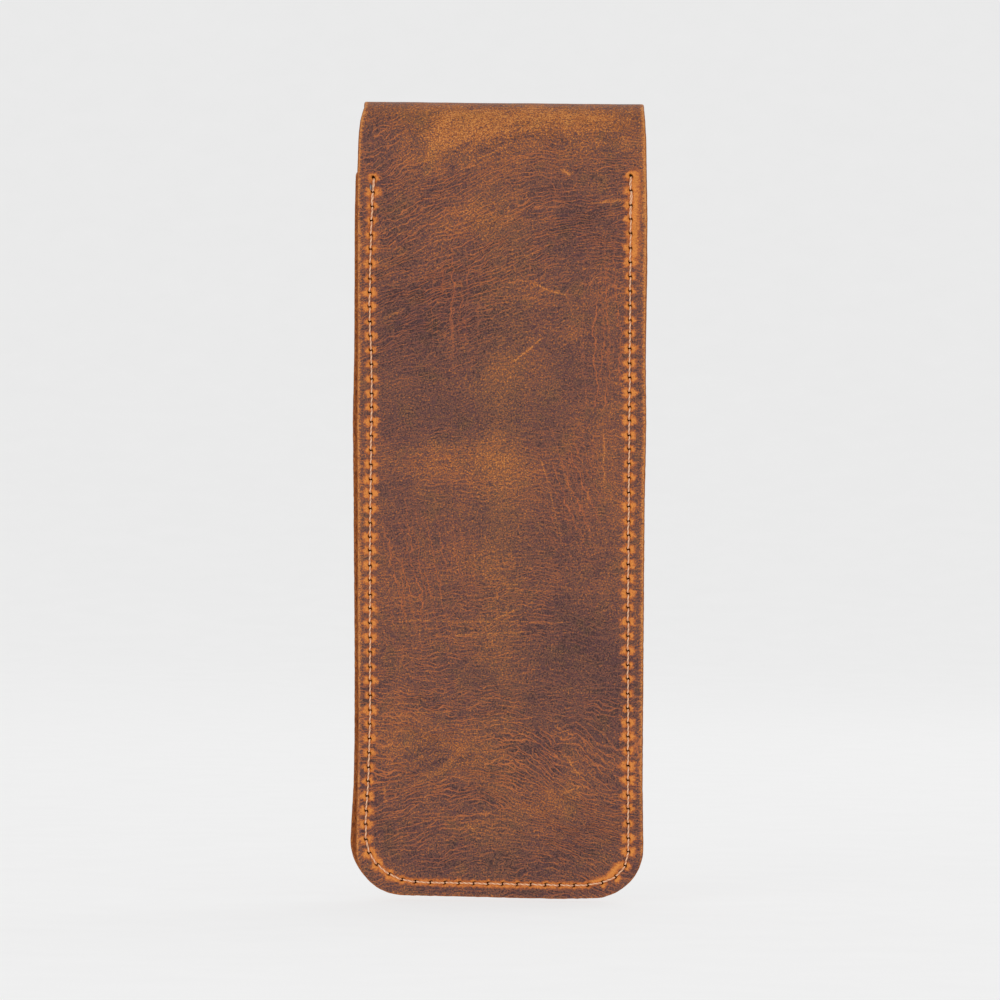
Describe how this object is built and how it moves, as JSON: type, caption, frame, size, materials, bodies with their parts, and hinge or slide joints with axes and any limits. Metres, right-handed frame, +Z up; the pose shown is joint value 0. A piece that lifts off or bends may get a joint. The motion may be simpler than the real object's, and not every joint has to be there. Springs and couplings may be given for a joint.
{
  "type": "flap-top leather case",
  "caption": "Slim flap-top sleeve of waxed leather, sewn round three sides, with a folding flap held by a press stud, for spectacles or a small optic.",
  "frame": {"origin": "centre of the bounding box in plan, at the bottom seam", "axes": "+Z up the case from the bottom seam to the fold, +Y out of the front where the flap and its stud are, -Y out of the flat back, +X towards the right when the back is looked at"},
  "size_m": [0.0616, 0.0192, 0.168],
  "materials": {
    "hide_back": "waxed, pulled up and worn, with orange wear at the stitches and edges",
    "hide_fold": "waxed and lightened where it bends",
    "hide_flap": "waxed, pulled up and worn",
    "hide_front": "waxed, moulded, raw flesh side inside",
    "thread": "twisted thread, dull",
    "aged_brass": "antique, satin",
    "spring_steel": "drawn wire"
  },
  "bodies": {
    "case": {"back_panel": "hide_back", "front_panel": "hide_front", "thread_back": "thread", "thread_front": "thread", "snap_stud": "aged_brass", "snap_post": "aged_brass"},
    "fold_1": {"fold_strip_1": "hide_fold"},
    "fold_2": {"fold_strip_2": "hide_fold"},
    "fold_3": {"fold_strip_3": "hide_fold"},
    "flap": {"flap_panel": "hide_flap", "snap_cap": "aged_brass", "snap_socket": "aged_brass", "snap_spring_ring": "spring_steel"}
  },
  "joints": [
    {"name": "flap_open", "type": "hinge", "parent": "case", "child": "fold_1", "pos_m": [0, -0.00895, 0.16275], "axis": [1, 0, 0], "range_deg": [0, 45]},
    {"name": "fold_bend_1", "type": "hinge", "parent": "fold_1", "child": "fold_2", "pos_m": [0, -0.00435, 0.16735], "axis": [1, 0, 0], "range_deg": [0, 45]},
    {"name": "fold_bend_2", "type": "hinge", "parent": "fold_2", "child": "fold_3", "pos_m": [0, 0.00215, 0.16735], "axis": [1, 0, 0], "range_deg": [0, 45]},
    {"name": "flap_bend", "type": "hinge", "parent": "fold_3", "child": "flap", "pos_m": [0, 0.00675, 0.16275], "axis": [1, 0, 0], "range_deg": [0, 45]}
  ],
  "couplings": [
    {"joint": "fold_bend_1", "follows": "flap_open", "ratio": 1},
    {"joint": "fold_bend_2", "follows": "flap_open", "ratio": 1},
    {"joint": "flap_bend", "follows": "flap_open", "ratio": 1}
  ]
}
